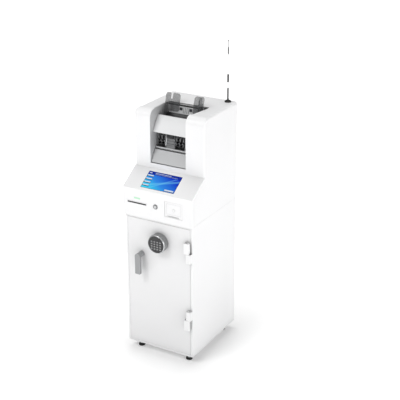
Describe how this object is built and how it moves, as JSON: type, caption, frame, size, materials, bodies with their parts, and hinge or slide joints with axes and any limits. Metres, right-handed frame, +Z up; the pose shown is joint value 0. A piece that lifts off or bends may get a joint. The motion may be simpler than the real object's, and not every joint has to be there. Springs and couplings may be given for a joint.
{
  "type": "cash deposit machine",
  "caption": "Free-standing cash deposit machine: a steel safe on levelling feet under a housing with a sloping touch screen, a receipt printer and an open banknote counter.",
  "frame": {"origin": "on the floor, under the centre of the whole object's box", "axes": "+Z up, the front with the safe door faces -Y, +X to the right of a person facing the machine"},
  "size_m": [0.412, 0.5174, 1.659],
  "materials": {
    "white_paint": "satin powder coat",
    "white_plastic": "smooth moulded, fine texture",
    "grey_plastic": "smooth moulded, light grey",
    "smoke_plastic": "smoked translucent",
    "dark_plastic": "fine matt, near black",
    "key_plastic": "soft matt grey",
    "metallic_plastic": "metallic grey lacquer",
    "handle_metal": "grey metallic",
    "steel": "satin zinc-plated",
    "galvanised": "bare galvanised sheet",
    "black_rubber": "matt",
    "screen_glass": "glossy, lit blue"
  },
  "bodies": {
    "root": {"safe_shell": "white_paint", "foot_front_left": "black_rubber", "foot_front_right": "black_rubber", "foot_rear_left": "black_rubber", "foot_rear_right": "black_rubber", "body_hinge_upper": "white_paint", "body_hinge_lower": "white_paint", "cash_cassette": "grey_plastic", "housing_shell": "white_paint", "head_fascia": "white_plastic", "console_fascia": "white_plastic", "touch_glass": "screen_glass", "display_module": "dark_plastic", "slip_slot_bezel": "white_plastic", "lock_barrel": "steel", "printer_body": "grey_plastic", "counter_wall_left": "grey_plastic", "counter_wall_right": "grey_plastic", "stacker_hood": "grey_plastic", "stacker_plate": "grey_plastic", "hopper_plate": "grey_plastic", "drop_chute": "galvanised", "rear_panel": "white_paint", "power_inlet": "dark_plastic", "control_unit": "galvanised", "antenna": "dark_plastic"},
    "door": {"safe_door": "white_paint", "door_hinge_upper": "white_paint", "door_hinge_lower": "white_paint", "lock_case": "steel", "keypad_drum": "metallic_plastic", "keypad_face": "dark_plastic"},
    "handle": {"safe_handle": "handle_metal"},
    "bolts": {"bolt_bar": "steel"},
    "keypad_row1_col1": {"key_row1_col1": "key_plastic"},
    "keypad_row1_col2": {"key_row1_col2": "key_plastic"},
    "keypad_row1_col3": {"key_row1_col3": "key_plastic"},
    "keypad_row1_col4": {"key_row1_col4": "key_plastic"},
    "keypad_row2_col1": {"key_row2_col1": "key_plastic"},
    "keypad_row2_col2": {"key_row2_col2": "key_plastic"},
    "keypad_row2_col3": {"key_row2_col3": "key_plastic"},
    "keypad_row2_col4": {"key_row2_col4": "key_plastic"},
    "keypad_row3_col1": {"key_row3_col1": "key_plastic"},
    "keypad_row3_col2": {"key_row3_col2": "key_plastic"},
    "keypad_row3_col3": {"key_row3_col3": "key_plastic"},
    "keypad_row3_col4": {"key_row3_col4": "key_plastic"},
    "keypad_row4_col1": {"key_row4_col1": "key_plastic"},
    "keypad_row4_col2": {"key_row4_col2": "key_plastic"},
    "keypad_row4_col3": {"key_row4_col3": "key_plastic"},
    "keypad_row4_col4": {"key_row4_col4": "key_plastic"},
    "key_plug": {"lock_plug": "steel"},
    "receipt_door": {"printer_door": "white_plastic"},
    "receipt_button": {"printer_button": "metallic_plastic"},
    "service_door": {"rear_door": "white_paint"},
    "flap": {"pocket_flap": "grey_plastic"},
    "pickup": {"pickup_roller": "black_rubber"},
    "feed": {"feed_roller": "black_rubber"},
    "fingers": {"impeller": "black_rubber"},
    "guide_left": {"note_guide_left": "smoke_plastic"},
    "guide_right": {"note_guide_right": "smoke_plastic"}
  },
  "joints": [
    {"name": "safe_door_swing", "type": "hinge", "parent": "root", "child": "door", "pos_m": [0.182, -0.22275, 0.41], "axis": [0, 0, 1], "range_deg": [0, 100]},
    {"name": "handle_turn", "type": "hinge", "parent": "door", "child": "handle", "pos_m": [-0.103, -0.23125, 0.588], "axis": [0, -1, 0], "range_deg": [0, 90]},
    {"name": "bolts_slide", "type": "slide", "parent": "door", "child": "bolts", "axis": [-1, 0, 0], "range_m": [0, 0.01]},
    {"name": "keypad_row1_col1_press", "type": "slide", "parent": "door", "child": "keypad_row1_col1", "axis": [0, 1, 0], "range_m": [0, 0.001], "stiffness_N_per_m": 1500},
    {"name": "keypad_row1_col2_press", "type": "slide", "parent": "door", "child": "keypad_row1_col2", "axis": [0, 1, 0], "range_m": [0, 0.001], "stiffness_N_per_m": 1500},
    {"name": "keypad_row1_col3_press", "type": "slide", "parent": "door", "child": "keypad_row1_col3", "axis": [0, 1, 0], "range_m": [0, 0.001], "stiffness_N_per_m": 1500},
    {"name": "keypad_row1_col4_press", "type": "slide", "parent": "door", "child": "keypad_row1_col4", "axis": [0, 1, 0], "range_m": [0, 0.001], "stiffness_N_per_m": 1500},
    {"name": "keypad_row2_col1_press", "type": "slide", "parent": "door", "child": "keypad_row2_col1", "axis": [0, 1, 0], "range_m": [0, 0.001], "stiffness_N_per_m": 1500},
    {"name": "keypad_row2_col2_press", "type": "slide", "parent": "door", "child": "keypad_row2_col2", "axis": [0, 1, 0], "range_m": [0, 0.001], "stiffness_N_per_m": 1500},
    {"name": "keypad_row2_col3_press", "type": "slide", "parent": "door", "child": "keypad_row2_col3", "axis": [0, 1, 0], "range_m": [0, 0.001], "stiffness_N_per_m": 1500},
    {"name": "keypad_row2_col4_press", "type": "slide", "parent": "door", "child": "keypad_row2_col4", "axis": [0, 1, 0], "range_m": [0, 0.001], "stiffness_N_per_m": 1500},
    {"name": "keypad_row3_col1_press", "type": "slide", "parent": "door", "child": "keypad_row3_col1", "axis": [0, 1, 0], "range_m": [0, 0.001], "stiffness_N_per_m": 1500},
    {"name": "keypad_row3_col2_press", "type": "slide", "parent": "door", "child": "keypad_row3_col2", "axis": [0, 1, 0], "range_m": [0, 0.001], "stiffness_N_per_m": 1500},
    {"name": "keypad_row3_col3_press", "type": "slide", "parent": "door", "child": "keypad_row3_col3", "axis": [0, 1, 0], "range_m": [0, 0.001], "stiffness_N_per_m": 1500},
    {"name": "keypad_row3_col4_press", "type": "slide", "parent": "door", "child": "keypad_row3_col4", "axis": [0, 1, 0], "range_m": [0, 0.001], "stiffness_N_per_m": 1500},
    {"name": "keypad_row4_col1_press", "type": "slide", "parent": "door", "child": "keypad_row4_col1", "axis": [0, 1, 0], "range_m": [0, 0.001], "stiffness_N_per_m": 1500},
    {"name": "keypad_row4_col2_press", "type": "slide", "parent": "door", "child": "keypad_row4_col2", "axis": [0, 1, 0], "range_m": [0, 0.001], "stiffness_N_per_m": 1500},
    {"name": "keypad_row4_col3_press", "type": "slide", "parent": "door", "child": "keypad_row4_col3", "axis": [0, 1, 0], "range_m": [0, 0.001], "stiffness_N_per_m": 1500},
    {"name": "keypad_row4_col4_press", "type": "slide", "parent": "door", "child": "keypad_row4_col4", "axis": [0, 1, 0], "range_m": [0, 0.001], "stiffness_N_per_m": 1500},
    {"name": "key_plug_turn", "type": "hinge", "parent": "root", "child": "key_plug", "pos_m": [-0.01, -0.21125, 0.873], "axis": [0, -1, 0], "range_deg": [0, 90]},
    {"name": "receipt_door_swing", "type": "hinge", "parent": "root", "child": "receipt_door", "pos_m": [0.097, -0.21975, 0.8325], "axis": [1, 0, 0], "range_deg": [0, 85]},
    {"name": "receipt_button_press", "type": "slide", "parent": "receipt_door", "child": "receipt_button", "axis": [0, 1, 0], "range_m": [0, 0.0012], "stiffness_N_per_m": 1200},
    {"name": "service_door_swing", "type": "hinge", "parent": "root", "child": "service_door", "pos_m": [0.149, 0.25875, 1.065], "axis": [0, 0, -1], "range_deg": [0, 110]},
    {"name": "flap_drop", "type": "hinge", "parent": "root", "child": "flap", "pos_m": [-0.008, -0.05525, 1.115], "axis": [1, 0, 0], "range_deg": [0, 31]},
    {"name": "pickup_spin", "type": "hinge", "parent": "root", "child": "pickup", "pos_m": [0, 0.03075, 1.246], "axis": [1, 0, 0], "continuous": true},
    {"name": "feed_spin", "type": "hinge", "parent": "root", "child": "feed", "pos_m": [0, -0.00525, 1.232], "axis": [1, 0, 0], "continuous": true},
    {"name": "fingers_spin", "type": "hinge", "parent": "root", "child": "fingers", "pos_m": [0, -0.01425, 1.166], "axis": [1, 0, 0], "continuous": true},
    {"name": "guide_left_slide", "type": "slide", "parent": "root", "child": "guide_left", "axis": [1, 0, 0], "range_m": [0, 0.03]},
    {"name": "guide_right_slide", "type": "slide", "parent": "root", "child": "guide_right", "axis": [-1, 0, 0], "range_m": [0, 0.03]}
  ],
  "couplings": [
    {"joint": "bolts_slide", "follows": "handle_turn", "m_per_rad": 0.006366},
    {"joint": "feed_spin", "follows": "pickup_spin", "ratio": 1.1429},
    {"joint": "fingers_spin", "follows": "pickup_spin", "ratio": 0.3333},
    {"joint": "guide_right_slide", "follows": "guide_left_slide", "ratio": 1}
  ]
}
